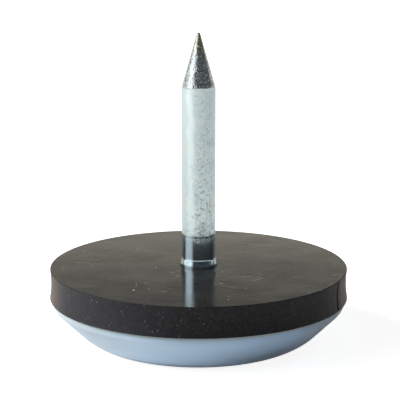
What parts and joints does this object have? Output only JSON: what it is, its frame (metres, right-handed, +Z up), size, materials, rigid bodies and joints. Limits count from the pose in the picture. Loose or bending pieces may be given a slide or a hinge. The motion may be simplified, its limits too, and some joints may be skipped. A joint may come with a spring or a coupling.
{
  "type": "furniture glide",
  "caption": "Round nail-on furniture glide: a pointed steel nail stands in a black rubber pad over a pale blue dished sliding face.",
  "frame": {"origin": "centre of the flat sliding face, on the floor that the glide stands on", "axes": "+Z up along the nail, towards its point; +X to the right of the front view; the cutter's mark in the pad lies near +X, towards the front"},
  "size_m": [0.0251, 0.025, 0.026],
  "materials": {
    "zinc_plated_steel": "bright zinc plate, glossy, pitted and scuffed",
    "black_rubber": "smooth and slightly glossy on top, die-cut and darker down the side",
    "pale_blue_ptfe": "waxy, slightly translucent satin"
  },
  "bodies": {
    "root": {"nail": "zinc_plated_steel", "rubber_pad": "black_rubber", "glide_face": "pale_blue_ptfe"}
  },
  "joints": []
}
